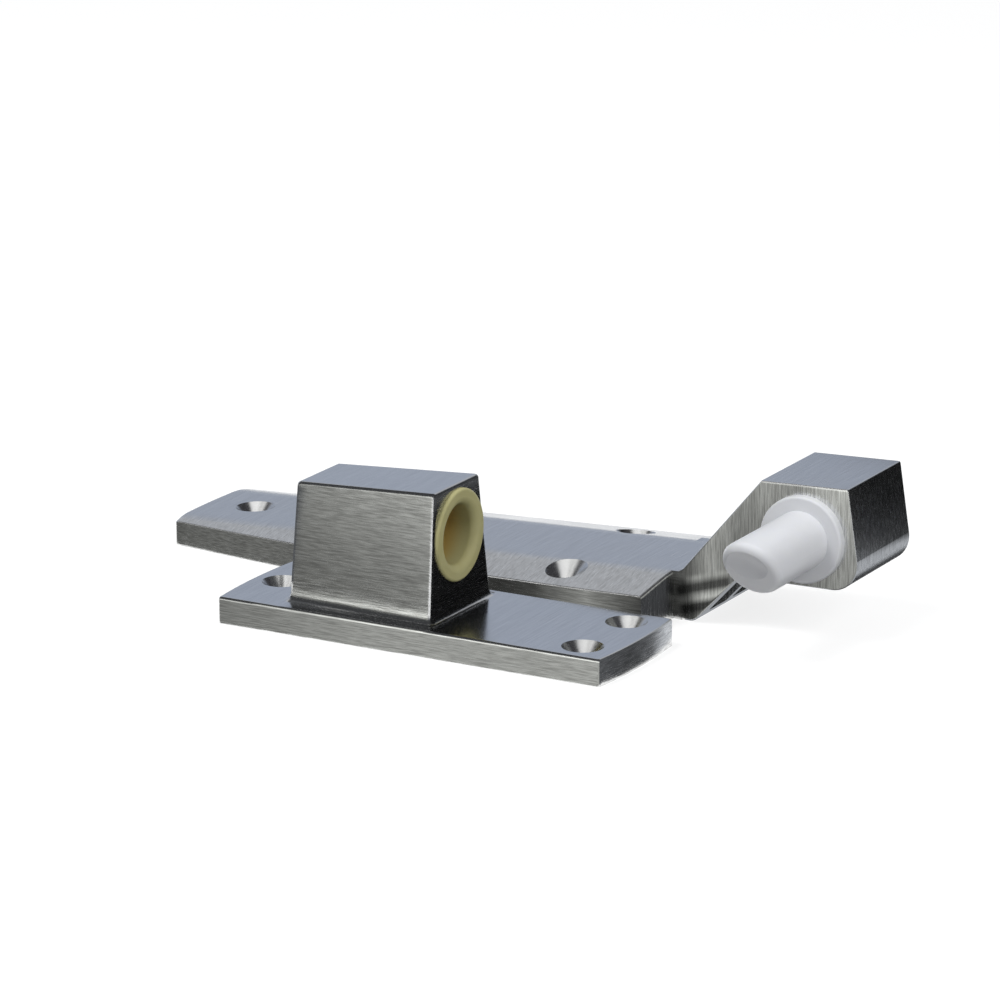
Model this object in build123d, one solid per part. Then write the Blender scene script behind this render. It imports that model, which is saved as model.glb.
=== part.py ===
from build123d import *
import math
import os

# A lift-off door hinge with its two leaves lifted apart and lying side by side.
# The flange leaf goes on the door frame and carries a bush.
# The strap leaf goes on the door and carries the pin that turns in the bush.
# Millimetres, +Z up. The origin is the middle of the flange leaf's back face.
# +X runs along both leaves, +Y from the flange leaf towards the strap leaf.

# Flange leaf, plate
flange_length = 114.5
flange_width = 41.3
flange_thickness = 7.3
flange_end_bow = 1.2
plate_corner_radius = 1.0
plate_edge_radius = 0.8

# Flange leaf, block that carries the bush
block_from_end = 18.2
block_foot_length = 43.7
block_top_length = 42.8
block_offset = 0.85
block_left_height = 38.9
block_right_height = 41.4
block_left_foot_half = 15.2
block_left_top_half = 10.6
block_right_foot_half = 16.3
block_right_top_half = 12.0
block_edge_radius = 1.1
block_foot_radius = 2.0

# Pin and bush, which share one axis height above the back of each leaf
axis_height = 27.6
pin_radius = 8.0
running_clearance = 0.05
press_gap = 0.01
collar_radius = 11.8
collar_thickness = 2.4
collar_edge_radius = 0.7
pin_reach = 30.0
pin_tip_tilt = 37.0
pin_tip_radius = 1.9
pin_dish_radius = 5.6
pin_dish_depth = 1.6
pin_dish_shift_x = 0.0
pin_dish_shift_z = -1.6
shank_radius = 6.5
shank_length = 24.0

# Bush
bush_head_radius = 12.5
bush_head_thickness = 4.0
bush_proud = 0.8
bush_body_radius = 10.5
bush_length = 36.0
bush_rim_radius = 0.8
bush_mouth_depth = 2.2
bush_mouth_radius = 10.1
socket_relief = 1.5

# Screw holes, countersunk for a flat-head screw
hole_radius = 2.9
sink_radius = 5.6
sink_angle = 82.0
flange_pair_from_end = 9.3
flange_pair_spacing = 24.2
flange_single_from_end = 7.55

# Strap leaf, plate
strap_x = -107.35
leaf_gap = 4.45
strap_y = flange_width / 2 + leaf_gap
strap_width = 61.9
strap_length = 153.9
strap_end_inset = 11.6
strap_taper_length = 168.1
strap_end_bow = 0.9
strap_end_skew = 1.2
strap_corner_radius = 1.3
strap_start_height = 7.62
strap_rise = 0.0379
bevel_width = 16.4
bevel_slope = 11.5
ridge_radius = 25.0
strap_single_from_end = 14.4
strap_pair_from_end = 124.45
strap_pair_spacing = 42.1

# Strap leaf, arm and knuckle, with reaches measured from the end of the plate
arm_set_back = 16.4
arm_depth = 33.1
arm_heel_reach = 6.2
arm_bend_reach = 19.2
knuckle_foot_reach = 54.8
knuckle_under_height = 14.2
knuckle_under_rise = 0.5
knuckle_face_lean = 4.3
knuckle_top_length = 25.1
knuckle_top_height = 42.4
knuckle_top_fall = 0.9
neck_slope = 50.2
arm_root_overlap = 8.0
heel_radius = 3.0
bend_radius = 3.5
knuckle_lower_radius = 7.5
neck_root_radius = 4.0
arm_edge_radius = 0.6
pin_from_arm_end = 16.7

# Strap leaf, two pockets cast into the underside of the neck with a rib between
neck_wall = 4.4
neck_rib = 3.2
neck_pocket_start = 3.2
neck_pocket_length = 15.0
neck_pocket_depth = 8.2


def block_left_x():
    return -flange_length / 2 + block_from_end


def block_face_x(height):
    """X of the block's leaning face at a height above the back."""
    foot = block_left_x() + block_foot_length
    top = block_left_x() + block_top_length
    share = (height - flange_thickness) / (block_right_height - flange_thickness)
    return foot + share * (top - foot)


def countersunk_hole(x, y, surface):
    """Through hole with a conical seat whose rim lies at the given height."""
    depth = (sink_radius - hole_radius) / math.tan(math.radians(sink_angle / 2))
    spare = 2.0
    rim = sink_radius + spare * math.tan(math.radians(sink_angle / 2))
    seat = Cone(hole_radius, rim, depth + spare, align=(Align.CENTER, Align.CENTER, Align.MIN))
    bore = Cylinder(hole_radius, surface + 1, align=(Align.CENTER, Align.CENTER, Align.MIN))
    return Pos(x, y, surface - depth) * seat + Pos(x, y, -1) * bore


def bowed_outline(length, width, bow):
    """Rectangle whose two short ends bow outwards."""
    x, y = length / 2, width / 2
    edges = [
        Line((-x, -y), (x, -y)),
        ThreePointArc((x, -y), (x + bow, 0), (x, y)),
        Line((x, y), (-x, y)),
        ThreePointArc((-x, y), (-x - bow, 0), (-x, -y)),
    ]
    return make_face(edges)


def flange_plate():
    outline = bowed_outline(flange_length, flange_width, flange_end_bow)
    outline = fillet(outline.vertices(), plate_corner_radius)
    plate = extrude(outline, amount=flange_thickness)
    return fillet(plate.faces().sort_by(Axis.Z)[-1].edges(), plate_edge_radius)


def block_section(foot_x, top_x, top_height, foot_half, top_half):
    """Trapezium across the block, from the plate's face up to the block's top."""
    corners = [
        (foot_x, block_offset - foot_half, flange_thickness),
        (foot_x, block_offset + foot_half, flange_thickness),
        (top_x, block_offset + top_half, top_height),
        (top_x, block_offset - top_half, top_height),
    ]
    return make_face(Polyline(*corners, close=True))


def flange_block():
    left = block_left_x()
    start = block_section(left, left, block_left_height, block_left_foot_half, block_left_top_half)
    finish = block_section(
        left + block_foot_length,
        left + block_top_length,
        block_right_height,
        block_right_foot_half,
        block_right_top_half,
    )
    block = loft([start, finish], ruled=True)
    raised = block.edges().filter_by(lambda edge: edge.center().Z > flange_thickness + 0.5)
    return fillet(raised, block_edge_radius)


def bush_place():
    """Bush axis along +X, with its zero on the block's face at axis height."""
    face = (block_face_x(axis_height), block_offset, axis_height)
    return Plane(origin=face, x_dir=(0, 1, 0), z_dir=(1, 0, 0))


def make_flange_leaf():
    leaf = flange_plate() + flange_block()
    foot = leaf.edges().filter_by(
        lambda edge: abs(edge.center().Z - flange_thickness) < 0.01
        and abs(edge.center().X - block_left_x() - block_foot_length / 2) < block_foot_length * 0.6
        and abs(edge.center().Y - block_offset) < block_right_foot_half + 1
    )
    leaf = fillet(foot, block_foot_radius)
    down = (Align.CENTER, Align.CENTER, Align.MAX)
    head = Cylinder(bush_head_radius + press_gap, 2 * bush_head_thickness, align=down)
    body = Cylinder(bush_body_radius + press_gap, bush_length + socket_relief, align=down)
    leaf -= bush_place() * (Pos(0, 0, bush_head_thickness) * head + body)
    pair_x = flange_length / 2 - flange_pair_from_end
    single_x = -flange_length / 2 + flange_single_from_end
    for x, y in (
        (pair_x, -flange_pair_spacing / 2),
        (pair_x, flange_pair_spacing / 2),
        (single_x, 0),
    ):
        leaf -= countersunk_hole(x, y, flange_thickness)
    return leaf


def make_flange_bush():
    """Headed sleeve turned about its own axis, with a rounded, flared mouth."""
    bore = pin_radius + running_clearance
    front = bush_proud
    profile = [
        Line((bore, -bush_length), (bush_body_radius, -bush_length)),
        Line((bush_body_radius, -bush_length), (bush_body_radius, -bush_head_thickness)),
        Line((bush_body_radius, -bush_head_thickness), (bush_head_radius, -bush_head_thickness)),
        Line((bush_head_radius, -bush_head_thickness), (bush_head_radius, front - bush_rim_radius)),
        RadiusArc(
            (bush_head_radius, front - bush_rim_radius),
            (bush_head_radius - bush_rim_radius, front),
            -bush_rim_radius,
        ),
        Line((bush_head_radius - bush_rim_radius, front), (bush_mouth_radius, front)),
        TangentArc((bore, front - bush_mouth_depth), (bush_mouth_radius, front), tangent=(0, 1)),
        Line((bore, front - bush_mouth_depth), (bore, -bush_length)),
    ]
    section = Plane.XZ * make_face(profile)
    return bush_place() * revolve(section, Axis.Z)


def side_inset(x):
    """How far the strap's long side has drawn in at x."""
    return strap_end_inset * ((strap_taper_length - x) / strap_taper_length) ** 2


def strap_outline():
    last = strap_length - strap_end_skew
    near = [(x, side_inset(x)) for x in (0, last / 2, last)]
    far = [(x, strap_width - y) for x, y in reversed(near)]
    edges = [
        ThreePointArc(*near),
        Line(near[-1], (strap_length, arm_set_back)),
        Line((strap_length, arm_set_back), (strap_length, arm_set_back + arm_depth)),
        Line((strap_length, arm_set_back + arm_depth), far[0]),
        ThreePointArc(*far),
        ThreePointArc(far[-1], (-strap_end_bow, strap_width / 2), near[0]),
    ]
    return make_face(edges)


def plate_height(x, y):
    """Height of the strap's top: level across the middle, bevelled to each side."""
    from_side = min(y, strap_width - y)
    drop = max(0, bevel_width - from_side) * math.tan(math.radians(bevel_slope))
    return strap_start_height + strap_rise * x - drop


def roof_section(x):
    """Section across the strap at x, well past both sides."""
    past = bevel_width
    across = (-past, bevel_width, strap_width - bevel_width, strap_width + past)
    top = [(x, y, plate_height(x, y)) for y in across]
    return make_face(Polyline((x, -past, 0), *top, (x, strap_width + past, 0), close=True))


def roof():
    """Bevelled and gently rising block that shapes the strap's top, its ridges eased."""
    block = loft([roof_section(-bevel_width), roof_section(strap_length + bevel_width)], ruled=True)
    ridges = block.edges().filter_by(
        lambda edge: bevel_width - 1 < edge.center().Y < strap_width - bevel_width + 1
        and edge.center().Z > strap_start_height
        and edge.length > strap_length
    )
    return fillet(ridges, ridge_radius)


def strap_hole_places():
    middle = strap_width / 2
    return [
        (strap_single_from_end, middle),
        (strap_pair_from_end, middle - strap_pair_spacing / 2),
        (strap_pair_from_end, middle + strap_pair_spacing / 2),
    ]


def strap_plate():
    outline = strap_outline()
    corners = outline.vertices().filter_by(lambda corner: corner.X < strap_end_skew)
    outline = fillet(corners, strap_corner_radius)
    plate = extrude(outline, amount=knuckle_top_height) & roof()
    raised = plate.edges().filter_by(lambda edge: edge.center().Z > strap_start_height / 2)
    rim = raised.filter_by(lambda edge: not is_upright(edge) and not is_ridge(edge))
    return fillet(rim, plate_edge_radius)


def is_ridge(edge):
    """Whether an edge runs along the top of the strap, inside its outline."""
    middle = edge.center()
    inside = side_inset(middle.X) + 1
    return edge.length > strap_length / 2 and inside < middle.Y < strap_width - inside


def is_upright(edge):
    start, finish = edge.start_point(), edge.end_point()
    return abs(start.Z - finish.Z) > 3 * math.hypot(start.X - finish.X, start.Y - finish.Y)


def ridge_ease():
    """How far the eased ridge lies below the sharp one."""
    return ridge_radius * (1 / math.cos(math.radians(bevel_slope / 2)) - 1)


def neck_underside():
    """Foot and head of the slope under the neck, as X and Z."""
    heel = (strap_length + arm_heel_reach, 0)
    bend = (strap_length + arm_bend_reach, knuckle_under_height)
    return heel, bend


def knuckle_top():
    """Both ends of the knuckle's top, as X and Z."""
    right_x = strap_length + knuckle_foot_reach - knuckle_face_lean
    left = (right_x - knuckle_top_length, knuckle_top_height - knuckle_top_fall)
    return left, (right_x, knuckle_top_height)


def neck_root():
    """Where the slope on top of the neck meets the strap, as X and Z."""
    left_x, left_height = knuckle_top()[0]
    height = plate_height(strap_length, arm_set_back) - ridge_ease()
    return left_x - (left_height - height) / math.tan(math.radians(neck_slope)), height


def arm_profile():
    """Outline of neck and knuckle in X and Z, rounded at each corner that is round."""
    heel, bend = neck_underside()
    lower = (strap_length + knuckle_foot_reach, knuckle_under_height + knuckle_under_rise)
    top_left, top_right = knuckle_top()
    root = neck_root()
    inside_x = strap_length - arm_root_overlap
    inside_height = plate_height(inside_x, arm_set_back) - ridge_ease()
    corners = [(inside_x, 0), heel, bend, lower, top_right, top_left, root, (inside_x, inside_height)]
    outline = make_face(Polyline(*corners, close=True))
    for corner, radius in (
        (heel, heel_radius),
        (bend, bend_radius),
        (lower, knuckle_lower_radius),
        (top_right, arm_edge_radius),
        (root, neck_root_radius),
    ):
        nearest = outline.vertices().sort_by_distance((corner[0], corner[1], 0))[0]
        outline = fillet(nearest, radius)
    return outline


def strap_arm():
    arm = extrude(Plane.XZ * arm_profile(), amount=-arm_depth)
    near = arm.faces().sort_by(Axis.Y)[0]
    far = arm.faces().sort_by(Axis.Y)[-1]
    rims = (near.edges() + far.edges()).filter_by(lambda edge: edge.center().X > strap_length)
    return Pos(0, arm_set_back, 0) * fillet(rims, arm_edge_radius)


def neck_pockets():
    """Two pockets sunk square to the sloping underside of the neck."""
    heel, bend = neck_underside()
    slope = math.degrees(math.atan2(bend[1] - heel[1], bend[0] - heel[0]))
    width = (arm_depth - 2 * neck_wall - neck_rib) / 2
    box = Box(
        neck_pocket_length,
        width,
        2 * neck_pocket_depth,
        align=(Align.MIN, Align.MIN, Align.CENTER),
    )
    box = fillet(box.edges().filter_by(Axis.Z), 1.0)
    pockets = []
    for number in range(2):
        y = arm_set_back + neck_wall + number * (width + neck_rib)
        foot = Location((heel[0], y, heel[1]), (0, -slope, 0))
        pockets.append(foot * Pos(neck_pocket_start, 0, 0) * box)
    return pockets


def pin_axis_x():
    return strap_length + knuckle_foot_reach - pin_from_arm_end


def plate_tongue():
    """The strap's top carried on from the plate into the foot of the neck."""
    start = strap_length - 2 * plate_edge_radius
    finish = neck_root()[0] + plate_edge_radius
    outline = Rectangle(finish - start, arm_depth, align=(Align.MIN, Align.MIN))
    return extrude(Pos(start, arm_set_back) * outline, amount=knuckle_top_height) & roof()


def make_strap_leaf():
    leaf = strap_plate() + plate_tongue() + strap_arm()
    for pocket in neck_pockets():
        leaf -= pocket
    for x, y in strap_hole_places():
        leaf -= countersunk_hole(x, y, plate_height(x, y))
    hole = Cylinder(
        shank_radius + press_gap,
        shank_length + 1,
        align=(Align.CENTER, Align.CENTER, Align.MIN),
    )
    leaf -= Location((pin_axis_x(), arm_set_back, axis_height), (-90, 0, 0)) * hole
    return Pos(strap_x, strap_y, 0) * leaf


def make_hinge_pin():
    """Pin, collar and shank in one piece, made along +Z and then laid along -Y."""
    up = (Align.CENTER, Align.CENTER, Align.MIN)
    down = (Align.CENTER, Align.CENTER, Align.MAX)
    collar = Cylinder(collar_radius, collar_thickness, align=up)
    collar = fillet(collar.edges().sort_by(Axis.Z)[-1], collar_edge_radius)
    journal = Cylinder(pin_radius, collar_thickness + pin_reach + pin_radius, align=up)
    tip = Plane(origin=(0, 0, collar_thickness + pin_reach))
    cut = tip * Rot(pin_tip_tilt, 0, 0) * Cylinder(3 * pin_radius, 3 * pin_radius, align=up)
    journal -= cut
    journal = fillet(journal.faces().sort_by(Axis.Z)[-1].edges(), pin_tip_radius)
    ball = (pin_dish_radius ** 2 + pin_dish_depth ** 2) / (2 * pin_dish_depth)
    dish = Pos(pin_dish_shift_x, -pin_dish_shift_z, ball - pin_dish_depth) * Sphere(ball)
    journal -= tip * Rot(pin_tip_tilt, 0, 0) * dish
    shank = Cylinder(shank_radius, shank_length, align=down)
    pin = collar + journal + shank
    place = Location((strap_x + pin_axis_x(), strap_y + arm_set_back, axis_height), (90, 0, 0))
    return place * pin


os.makedirs("parts", exist_ok=True)
nodes = {
    "flange_leaf": make_flange_leaf(),
    "flange_bush": make_flange_bush(),
    "strap_leaf": make_strap_leaf(),
    "hinge_pin": make_hinge_pin(),
}
for name, shape in nodes.items():
    shape.label = name
    export_step(shape, f"parts/{name}.step")
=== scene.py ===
import math

import bpy
import numpy as np
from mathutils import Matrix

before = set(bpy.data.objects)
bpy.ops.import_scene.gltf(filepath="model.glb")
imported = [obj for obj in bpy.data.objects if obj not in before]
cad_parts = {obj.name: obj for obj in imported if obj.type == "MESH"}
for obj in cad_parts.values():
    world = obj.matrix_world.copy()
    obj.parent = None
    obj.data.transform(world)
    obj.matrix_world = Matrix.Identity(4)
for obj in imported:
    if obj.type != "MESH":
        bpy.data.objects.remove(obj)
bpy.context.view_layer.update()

# Finishes for the hinge's four pieces, and the floor, room, cards, lamps and lens round them.


# Shader maths

class Value:
    """A number somewhere in a node tree, with ordinary arithmetic on it."""

    def __init__(self, look, socket):
        self.look = look
        self.socket = socket

    def maths(self, operation, *values):
        node = self.look.make("ShaderNodeMath", {"operation": operation}, dict(enumerate(values)))
        return Value(self.look, node.outputs[0])

    def __add__(self, other):
        return self.maths("ADD", self, other)

    __radd__ = __add__

    def __sub__(self, other):
        return self.maths("SUBTRACT", self, other)

    def __rsub__(self, other):
        return self.maths("SUBTRACT", other, self)

    def __mul__(self, other):
        return self.maths("MULTIPLY", self, other)

    __rmul__ = __mul__

    def __truediv__(self, other):
        return self.maths("DIVIDE", self, other)

    def size(self):
        return self.maths("ABSOLUTE", self)

    def above(self, low, high):
        """0 below low, 1 above high, smooth between them."""
        settings = {"interpolation_type": "SMOOTHSTEP"}
        sockets = {"Value": self, "From Min": low, "From Max": high}
        return Value(self.look, self.look.make("ShaderNodeMapRange", settings, sockets).outputs[0])


class Look:
    """The node tree of one material or of the world."""

    def __init__(self, owner, output="ShaderNodeOutputMaterial"):
        owner.use_nodes = True
        self.tree = owner.node_tree
        self.tree.nodes.clear()
        self.output = self.tree.nodes.new(output)

    def make(self, kind, settings=None, sockets=None):
        """Make a node, set it, then fill its sockets with values or links."""
        node = self.tree.nodes.new(kind)
        for name, value in (settings or {}).items():
            if name == "stops":
                ramp = node.color_ramp.elements
                while len(ramp) > len(value):
                    ramp.remove(ramp[-1])
                while len(ramp) < len(value):
                    ramp.new(1.0)
                for stop, (place, colour) in zip(ramp, value):
                    stop.position = place
                    stop.color = (*colour, 1.0)
            else:
                setattr(node, name, value)
        for name, value in (sockets or {}).items():
            socket = node.inputs[name]
            if isinstance(value, Value):
                self.tree.links.new(value.socket, socket)
            elif isinstance(value, bpy.types.NodeSocket):
                self.tree.links.new(value, socket)
            elif socket.type == "RGBA" and len(value) == 3:
                socket.default_value = (*value, 1.0)
            else:
                socket.default_value = value
        return node

    def parts(self, vector):
        """The three numbers of a vector."""
        split = self.make("ShaderNodeSeparateXYZ", sockets={0: vector})
        return [Value(self, socket) for socket in split.outputs]

    def noise(self, vector, cells, detail=2.0, roughness=0.5):
        """Noise about 0.5, with so many cells a metre along X, Y and Z."""
        scaled = self.make("ShaderNodeVectorMath", {"operation": "MULTIPLY"}, {0: vector, 1: cells})
        sockets = {"Vector": scaled.outputs[0], "Scale": 1.0, "Detail": detail, "Roughness": roughness}
        return Value(self, self.make("ShaderNodeTexNoise", sockets=sockets).outputs[0])

    def blend(self, share, first, second):
        """Colour that goes from first to second as share goes from 0 to 1."""
        settings = {"data_type": "RGBA"}
        node = self.make("ShaderNodeMix", settings, {"Factor": share, 6: first, 7: second})
        return node.outputs[2]

    def ramp(self, share, stops):
        """Colour that passes through the stops, each a share and a colour."""
        return self.make("ShaderNodeValToRGB", {"stops": stops}, {"Fac": share}).outputs[0]

    def rays(self, kind):
        """What the light path says about the ray."""
        return Value(self, self.make("ShaderNodeLightPath").outputs[kind])

    def finish(self, surface):
        self.tree.links.new(surface, self.output.inputs["Surface"])


# Finishes

METAL_DARK = (0.48, 0.48, 0.475)
METAL_LIGHT = (0.88, 0.885, 0.88)

# Cells of brushing a metre along X, Y and Z: few along the strokes, many across them.
STROKES_X = (150.0, 3200.0, 3200.0)
STROKES_Y = (3200.0, 150.0, 3200.0)
STROKES_Z = (3200.0, 3200.0, 150.0)
TOP_STROKES = (2400.0, 80.0, 1600.0)
STROKE_NOISE = {"detail": 3.0, "roughness": 0.6}
STROKE_CONTRAST = 3.3
STROKE_RELIEF = {"Strength": 0.2, "Distance": 0.00012}
TOP_SHARE = 0.22
CLOUD_CELLS = (60.0, 60.0, 60.0)

METAL_ROUGH = 0.25
STROKE_ROUGH = 0.24
CLOUD_ROUGH = 0.08

# How far a face's direction has to lie along an axis before it counts as looking that way.
SQUARE_ON = (0.8, 0.95)
BEVEL_SLOPE = (0.08, 0.16)
ARM_CHANGE = 0.004


def brushed_casting(name, arm_start, bevel_grain, end_strokes, top_shine):
    """Satin-plated casting, brushed along one direction on each face.

    Fine noise is stretched along the brushing: along X on the long sides, upright beyond
    arm_start, by end_strokes on the ends, and across the tops. The face's own direction picks
    which one shows, and rounded edges and countersinks stay smooth. The tops are glossier by
    top_shine, and show more strokes by bevel_grain where they fall to the near side.
    """
    material = bpy.data.materials.new(name)
    look = Look(material)
    place = look.make("ShaderNodeTexCoord")
    spot, facing = place.outputs["Object"], place.outputs["Normal"]
    nx, ny, nz = look.parts(facing)
    end, side, top = (part.size().above(*SQUARE_ON) for part in (nx, ny, nz))
    arm = look.parts(spot)[0].above(arm_start, arm_start + ARM_CHANGE)
    along, upright, endwise, across = (
        look.noise(spot, cells, **STROKE_NOISE)
        for cells in (STROKES_X, STROKES_Z, end_strokes, TOP_STROKES)
    )
    bevel = (0.0 - ny).above(*BEVEL_SLOPE)
    smooth = (across - 0.5) * (TOP_SHARE + bevel * bevel_grain)
    sides = (along * (1.0 - arm) + upright * arm - 0.5) * side
    grain = sides + (endwise - 0.5) * end + smooth * top
    cloud = look.noise(spot, CLOUD_CELLS)
    rough = METAL_ROUGH + grain * STROKE_ROUGH + (cloud - 0.5) * CLOUD_ROUGH - top * top_shine
    bump = look.make("ShaderNodeBump", sockets={**STROKE_RELIEF, "Height": grain})
    shader = look.make("ShaderNodeBsdfPrincipled", sockets={
        "Base Color": look.blend(grain * STROKE_CONTRAST + 0.5, METAL_DARK, METAL_LIGHT),
        "Metallic": 1.0,
        "Roughness": rough,
        "Normal": bump.outputs[0],
    })
    look.finish(shader.outputs[0])
    return material


MOTTLE_CELLS = (140.0, 140.0, 140.0)
MOTTLE_DETAIL = 3.0
MOTTLE_ROUGH = 0.12
SKIN_RELIEF = {"Strength": 0.12, "Distance": 0.0001}


def moulded_plastic(name, light, dark, rough, skin_cells, bore=None):
    """Moulded plastic with a faint mottle and a fine satin skin.

    With bore, a colour and two places along X, it takes that colour before the first place and
    its own beyond the second. That colour is painted shade: darker and browner inside the bore.
    """
    material = bpy.data.materials.new(name)
    look = Look(material)
    spot = look.make("ShaderNodeTexCoord").outputs["Object"]
    mottle = look.noise(spot, MOTTLE_CELLS, MOTTLE_DETAIL)
    skin = look.noise(spot, (skin_cells, skin_cells, skin_cells))
    colour = look.blend(mottle, dark, light)
    if bore:
        # Painted shade: the inside of the bore is coloured darker and browner.
        bore_shade_colour, deep, mouth = bore
        colour = look.blend(look.parts(spot)[0].above(deep, mouth), bore_shade_colour, colour)
    bump = look.make("ShaderNodeBump", sockets={**SKIN_RELIEF, "Height": skin})
    shader = look.make("ShaderNodeBsdfPrincipled", sockets={
        "Base Color": colour,
        "Roughness": rough + (mottle - 0.5) * MOTTLE_ROUGH,
        "Normal": bump.outputs[0],
        "Subsurface Weight": 0.15,
        "Subsurface Radius": (0.004, 0.004, 0.003),
    })
    look.finish(shader.outputs[0])
    return material


def dress(node, material):
    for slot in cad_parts[node].material_slots:
        slot.material = material


# Floor and cards

def flat_sheet(name, corners, material):
    """Flat four-sided sheet through four corners, in metres."""
    mesh = bpy.data.meshes.new(name)
    mesh.from_pydata([tuple(corner) for corner in np.array(corners, dtype=float)], [], [(0, 1, 2, 3)])
    mesh.materials.append(material)
    sheet = bpy.data.objects.new(name, mesh)
    bpy.context.scene.collection.objects.link(sheet)
    return sheet


FLOOR_REACH = 6.0
FLOOR_DROP = 0.0002
FLOOR_GLOW = 0.80
FLOOR_PAPER = (0.30, 0.30, 0.30)
BLACK = (0.0, 0.0, 0.0)
WHITE = (1.0, 1.0, 1.0)


def pale_floor():
    """White floor that glows to the lens and to metal, with a soft shadow on its paper."""
    material = bpy.data.materials.new("floor_white")
    look = Look(material)
    seen = look.rays("Is Camera Ray") * FLOOR_GLOW
    seen = seen + (look.rays("Is Glossy Ray") + look.rays("Is Transmission Ray"))
    paper = look.make("ShaderNodeBsdfDiffuse", sockets={"Color": FLOOR_PAPER})
    light = look.blend(seen, BLACK, WHITE)
    glow = look.make("ShaderNodeEmission", sockets={"Color": light, "Strength": 1.0})
    both = look.make("ShaderNodeAddShader", sockets={0: paper.outputs[0], 1: glow.outputs[0]})
    look.finish(both.outputs[0])
    corners = [(-1, -1), (1, -1), (1, 1), (-1, 1)]
    flat_sheet("floor", [(x * FLOOR_REACH, y * FLOOR_REACH, -FLOOR_DROP) for x, y in corners], material)


PLAIN = (1.0, 1.0, 1.0)
WARM = (1.0, 1.015, 0.97)
BLUE = (0.96, 1.0, 1.07)
EVEN = ((0.0, 1.0),)

# The glossy depth is 1 for light that has met metal once.
MET_TWICE = (1.4, 1.6)


def shades(levels, tint=WARM):
    """Ramp stops for pairs of share and level, in one tint."""
    return [(share, tuple(level * part for part in tint)) for share, level in levels]


def card_finish(name, across, upward, first_only, margins):
    """One-sided card, clear from behind.

    Its colour is one ramp times another. Each is an axis, its start and finish in metres,
    and colours at shares of the way between them. With first_only it is clear too for light
    that has met metal twice. With margins, one for each ramp, it melts away at its borders.
    """
    material = bpy.data.materials.new(name)
    look = Look(material)
    spot = look.parts(look.make("ShaderNodeTexCoord").outputs["Object"])
    colours = [
        look.ramp((spot[axis] - start) / (finish - start), stops)
        for axis, start, finish, stops in (across, upward)
    ]
    colour = look.make("ShaderNodeVectorMath", {"operation": "MULTIPLY"}, dict(enumerate(colours)))
    glow = look.make("ShaderNodeEmission", sockets={"Color": colour.outputs[0], "Strength": 1.0})
    hidden = Value(look, look.make("ShaderNodeNewGeometry").outputs["Backfacing"])
    if first_only:
        hidden = hidden + look.rays("Glossy Depth").above(*MET_TWICE)
    if margins:
        inside = math.prod(
            spot[axis].above(start, start + margin) * (1.0 - spot[axis].above(finish - margin, finish))
            for (axis, start, finish, _), margin in zip((across, upward), margins)
        )
        hidden = hidden + (1.0 - inside)
    clear = look.make("ShaderNodeBsdfTransparent")
    mixed = look.make("ShaderNodeMixShader", sockets={0: hidden, 1: glow.outputs[0], 2: clear.outputs[0]})
    look.finish(mixed.outputs[0])
    return material


def reflection_card(name, corners, across, upward, first_only=False, margins=None):
    """Card that only polished faces see, from the side its corners turn anticlockwise."""
    card = flat_sheet(name, corners, card_finish(name, across, upward, first_only, margins))
    card.visible_camera = False
    card.visible_diffuse = False
    card.visible_shadow = False
    card.visible_transmission = False
    return card


def side_card(name, start, finish, heights, across, upward=EVEN, first_only=False):
    """Upright card between two places on the plan, lighting the faces that look along -Y."""
    (x0, y0), (x1, y1), (z0, z1) = start, finish, heights
    corners = [(x0, y0, z0), (x0, y0, z1), (x1, y1, z1), (x1, y1, z0)]
    levels = (2, z0, z1, shades(upward, PLAIN))
    reflection_card(name, corners, (0, x0, x1, shades(across)), levels, first_only)


def end_card(name, x, depths, heights, across, upward=EVEN, towards_left=True):
    """Upright card beside a piece, lighting the faces that look along +X, or else along -X."""
    (y0, y1), (z0, z1) = depths, heights
    corners = [(x, y0, z0), (x, y0, z1), (x, y1, z1), (x, y1, z0)]
    if not towards_left:
        corners.reverse()
    levels = (2, z0, z1, shades(upward, PLAIN))
    reflection_card(name, corners, (1, y0, y1, shades(across, BLUE)), levels)


def level_card(name, height, widths, depths, level, downward=False):
    """Level card that lights what lies above it, or below it when it looks downward."""
    (x0, x1), (y0, y1) = widths, depths
    corners = [(x0, y0, height), (x1, y0, height), (x1, y1, height), (x0, y1, height)]
    if downward:
        corners.reverse()
    flat = shades([(0.0, level)], BLUE)
    reflection_card(name, corners, (0, x0, x1, flat), (1, y0, y1, shades(EVEN, PLAIN)))


STRAP_END_X = 0.049
STRAP_END_DEPTHS = (0.027, 0.0416)


def strap_end_card(name, low, high, level, tint):
    """Upright card beside the end of the strap leaf's plate, with one level.

    Low and high are its heights at the near and the far side, because the plate's edge slants.
    """
    y0, y1 = STRAP_END_DEPTHS
    plan = [(y0, low[0]), (y0, high[0]), (y1, high[1]), (y1, low[1])]
    across = (1, y0, y1, shades([(0.0, level)], tint))
    reflection_card(
        name, [(STRAP_END_X, y, z) for y, z in plan],
        across, (2, low[0], high[1], shades(EVEN, PLAIN)),
    )


NECK_PLACE = (0.05445, 0.0405, 0.0071)
NECK_TILT = -17.0
NECK_MARGINS = (0.0025, 0.0015)


def neck_card(name, widths, heights, across, upward):
    """Soft-edged card before the root of the neck, tilted to lie along it.

    Its widths and heights are measured from its place, before it is tilted.
    """
    (x0, x1), (z0, z1) = widths, heights
    card = reflection_card(
        name, [(x0, 0, z0), (x0, 0, z1), (x1, 0, z1), (x1, 0, z0)],
        (0, x0, x1, shades(across, PLAIN)), (2, z0, z1, shades(upward)), margins=NECK_MARGINS,
    )
    card.location = NECK_PLACE
    card.rotation_euler = (0.0, math.radians(NECK_TILT), 0.0)


# Room, lamps and lens

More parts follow.
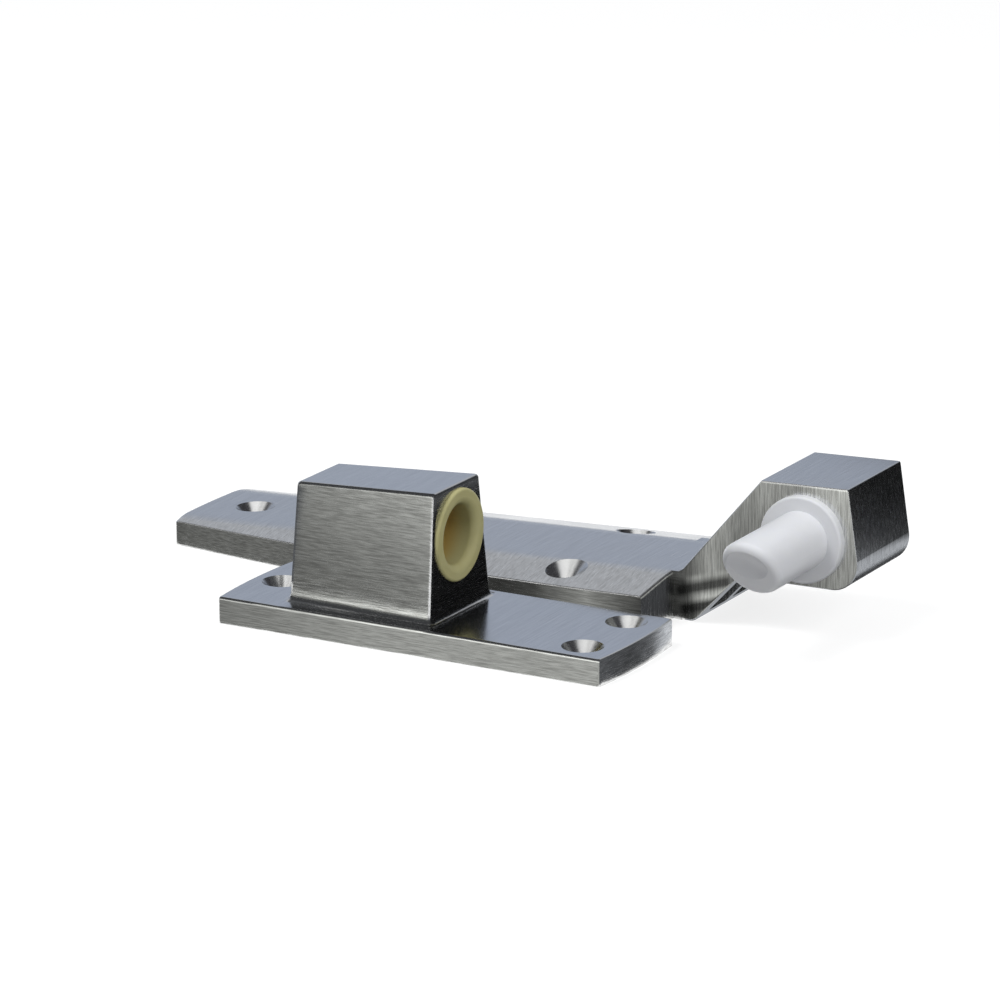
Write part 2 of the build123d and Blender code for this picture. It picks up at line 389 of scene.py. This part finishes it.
# What metal sees of the room, as stops over the height of its direction: 0 level, 1 straight up.
BACK_WALL = [
    (0.0, (0.50, 0.52, 0.56)),
    (0.12, (0.40, 0.445, 0.535)),
    (0.40, (0.385, 0.43, 0.53)),
    (0.56, (0.59, 0.60, 0.62)),
    (0.62, (0.59, 0.60, 0.62)),
    (0.76, (0.08, 0.08, 0.085)),
    (0.90, (0.08, 0.08, 0.085)),
    (0.97, (0.50, 0.50, 0.51)),
]
FRONT_WALL = [
    (0.0, (0.05, 0.05, 0.05)),
    (0.70, (0.05, 0.05, 0.055)),
    (0.76, (1.2, 1.2, 1.2)),
    (0.82, (1.2, 1.2, 1.2)),
    (0.87, (0.10, 0.10, 0.10)),
    (0.89, (1.6, 1.6, 1.6)),
    (0.94, (1.6, 1.6, 1.6)),
    (0.98, (0.60, 0.60, 0.60)),
]
RIGHT_WALL = (0.045, 0.045, 0.05)
FRONT_RIGHT_WALL = (0.40, 0.42, 0.46)
PLAIN_ROOM = (0.41, 0.415, 0.425)

# Where one wall passes into the next, as parts of a direction along X, Y and Z.
FRONT_TO_BACK = (-0.1, 0.15)
INTO_RIGHT = (0.02, 0.3)
RIGHT_TO_CEILING = (0.85, 0.9)
INTO_FRONT_RIGHT = (0.35, 0.55)
FRONT_RIGHT_TO_BACK = (-0.3, -0.05)


def surroundings():
    """Even grey room, in which metal sees more.

    For metal it is blue-grey at the back with a dark band high up, dark at the front with two
    bright bands high up, dark to the right, and grey to the front and right.
    """
    world = bpy.data.worlds.new("studio")
    bpy.context.scene.world = world
    look = Look(world, "ShaderNodeOutputWorld")
    x, y, z = look.parts(look.make("ShaderNodeTexCoord").outputs["Generated"])
    back = look.ramp(z, BACK_WALL)
    front = look.ramp(z, FRONT_WALL)
    mirrored = look.blend(y.above(*FRONT_TO_BACK), front, back)
    right = x.above(*INTO_RIGHT) * (1.0 - z.above(*RIGHT_TO_CEILING))
    mirrored = look.blend(right, mirrored, RIGHT_WALL)
    front_right = x.above(*INTO_FRONT_RIGHT) * (1.0 - y.above(*FRONT_RIGHT_TO_BACK))
    mirrored = look.blend(front_right, mirrored, FRONT_RIGHT_WALL)
    colour = look.blend(look.rays("Is Glossy Ray"), PLAIN_ROOM, mirrored)
    light = look.make("ShaderNodeBackground", sockets={"Color": colour, "Strength": 1.0})
    look.finish(light.outputs[0])


LAMP_TARGET = (0.0, 0.04, 0.0)


def soft_lamp(name, place, diameter, power):
    """Round lamp that lights the plastic and the floor, and that metal doesn't see."""
    lamp = bpy.data.lights.new(name, "AREA")
    lamp.shape = "DISK"
    lamp.size = diameter
    lamp.energy = power
    holder = bpy.data.objects.new(name, lamp)
    bpy.context.scene.collection.objects.link(holder)
    holder.visible_glossy = False
    aim = np.array(LAMP_TARGET) - np.array(place)
    level = math.hypot(aim[0], aim[1])
    holder.location = place
    holder.rotation_euler = (math.atan2(level, -aim[2]), 0.0, math.atan2(-aim[0], aim[1]))


LENS_PLACE = (0.63302, -1.11103, 0.39949)
LENS_DOWN = 15.84
LENS_FROM_RIGHT = 29.01


def lens():
    """Camera at the photograph's place, aimed downwards and from the right by these degrees."""
    camera = bpy.data.cameras.new("lens")
    camera.lens = 182.8
    camera.sensor_width = 36.0
    camera.clip_start = 0.01
    holder = bpy.data.objects.new("lens", camera)
    bpy.context.scene.collection.objects.link(holder)
    holder.location = LENS_PLACE
    holder.rotation_euler = (math.radians(90.0 - LENS_DOWN), 0.0, math.radians(LENS_FROM_RIGHT))
    bpy.context.scene.camera = holder


bpy.context.scene.view_settings.view_transform = "Standard"
lens()
surroundings()
pale_floor()

# Height of the lower edge of a card that stands on the floor, just clear of it
CARD_FOOT = -0.0001

# Round the flange leaf's plate and block
side_card(
    "plate_front", (-0.075, -0.0211), (0.065, -0.0211), (0.0, 0.0072),
    [(0.16, 0.26), (0.5, 0.43), (0.84, 0.46), (1.0, 0.5)],
    [(0.0, 1.0), (0.89, 1.0), (0.93, 2.8)],
    first_only=True,
)
level_card("plate_flag", 0.0125, (-0.068, 0.062), (-0.0245, -0.0152), 0.05, downward=True)
side_card(
    "block_front", (-0.048, -0.0226), (0.004, -0.0226), (0.0072, 0.06),
    [(0.1, 0.27), (0.45, 0.32), (0.8, 0.37), (0.93, 0.45), (1.0, 0.6)],
    [
        (0.0, 4.5), (0.026, 4.0), (0.034, 0.85), (0.08, 0.64), (0.2, 0.72), (0.35, 0.90),
        (0.6, 1.25), (0.64, 1.25), (0.66, 2.4),
    ],
    first_only=True,
)
end_card("block_left", -0.0425, (-0.019, 0.014), (0.0115, 0.0375), [(0.0, 0.12)], towards_left=False)
level_card("block_flag", 0.0465, (-0.046, 0.006), (-0.024, -0.0040), 0.05, downward=True)

# Near side of the strap leaf's plate and arm
side_card(
    "strap_side_left", (-0.120, 0.0370), (-0.045, 0.0286), (CARD_FOOT, 0.0125),
    [(0.0, 0.10), (0.25, 0.165), (0.6, 0.185), (1.0, 0.13)],
)
side_card(
    "strap_side_right", (-0.045, 0.0246), (0.047, 0.0246), (CARD_FOOT, 0.0125),
    [(0.0, 0.15), (0.5, 0.04), (0.62, 0.08), (0.8, 0.33), (0.92, 0.13), (1.0, 0.05)],
)
side_card(
    "arm_side", (0.044, 0.0395), (0.112, 0.0395), (CARD_FOOT, 0.045),
    [
        (0.0, 0.06), (0.1, 0.26), (0.18, 0.66), (0.3, 0.33), (0.43, 0.37), (0.56, 0.285),
        (0.66, 0.47), (0.75, 0.56), (1.0, 0.47),
    ],
    [(0.0, 0.22), (0.25, 0.59), (0.5, 0.68), (0.7, 0.88), (0.85, 1.10), (0.92, 1.15), (0.945, 2.2)],
)

# Ends that look to the right, and the root of the neck
end_card(
    "block_end", 0.0076, (-0.016, 0.032), (0.0074, 0.07),
    [(0.0, 0.005)],
    [(0.0, 0.5), (0.42, 1.0), (0.5, 16.0), (0.6, 6.0)],
)
end_card(
    "flange_end", 0.0593, (-0.022, 0.040), (CARD_FOOT, 0.012),
    [(0.05, 0.11), (0.3, 0.07), (0.5, 0.14), (0.66, 0.62), (1.0, 0.7)],
)
neck_card(
    "neck_bands", (-0.0085, 0.011), (-0.0085, 0.0065),
    [(0.05, 0.1), (0.22, 0.15), (0.45, 1.0), (1.0, 1.0)],
    [
        (0.0, 0.45), (0.22, 0.40), (0.34, 0.06), (0.44, 0.06), (0.54, 0.62), (0.60, 0.50),
        (0.69, 0.08), (0.79, 0.08), (0.90, 0.42), (1.0, 0.50),
    ],
)
strap_end_card("strap_end_edge", (0.0096, 0.0126), (0.0122, 0.0152), 0.42, WARM)
strap_end_card("strap_end", (0.0, 0.0), (0.0096, 0.0126), 0.06, BLUE)
reflection_card(
    "knuckle_end",
    [(0.03, 0.125, 0.0), (0.5, 0.125, 0.0), (0.5, 0.125, 0.14), (0.03, 0.125, 0.045)],
    (0, 0.03, 0.5, shades(EVEN, PLAIN)),
    (2, 0.0, 0.05, shades([(0.0, 0.55), (0.12, 0.32), (0.2, 0.05), (0.35, 0.02), (0.5, 0.006)], BLUE)),
)

# Floor below the neck and the knuckle, as only metal sees it: a grey patch from the knuckle outwards, and
# painted shade at the knuckle's foot and under the neck
level_card("knuckle_floor", 0.0001, (0.090, 0.5), (0.030, 0.125), 0.5)
# Painted shade: near-black floor at the knuckle's foot, seen only in reflections
level_card("knuckle_foot_shade", 0.0002, (0.086, 0.1035), (0.030, 0.115), 0.04)
# Painted shade: grey floor under the neck, seen only in reflections
level_card("neck_floor_shade", 0.0001, (0.050, 0.086), (0.041, 0.076), 0.40)

soft_lamp("key_lamp", (-0.35, -0.5, 1.22), diameter=0.6, power=9.5)
soft_lamp("fill_lamp", (1.05, -0.25, 0.8), diameter=0.7, power=7.0)

dress("flange_leaf", brushed_casting(
    "brushed_flange", arm_start=1.0, bevel_grain=0.0, end_strokes=STROKES_Y, top_shine=0.08,
))
dress("strap_leaf", brushed_casting(
    "brushed_strap", arm_start=0.0468, bevel_grain=0.45, end_strokes=STROKES_Z, top_shine=0.0,
))
dress("hinge_pin", moulded_plastic(
    "white_plastic", light=(0.76, 0.77, 0.79), dark=(0.70, 0.71, 0.74), rough=0.38, skin_cells=2200.0,
))
# The bush's bore colour below is painted shade, darker and browner than its own colour.
dress("flange_bush", moulded_plastic(
    "cream_plastic", light=(0.50, 0.475, 0.25), dark=(0.41, 0.38, 0.17), rough=0.42, skin_cells=1800.0,
    bore=((0.47, 0.33, 0.10), -0.0040, 0.0018),
))
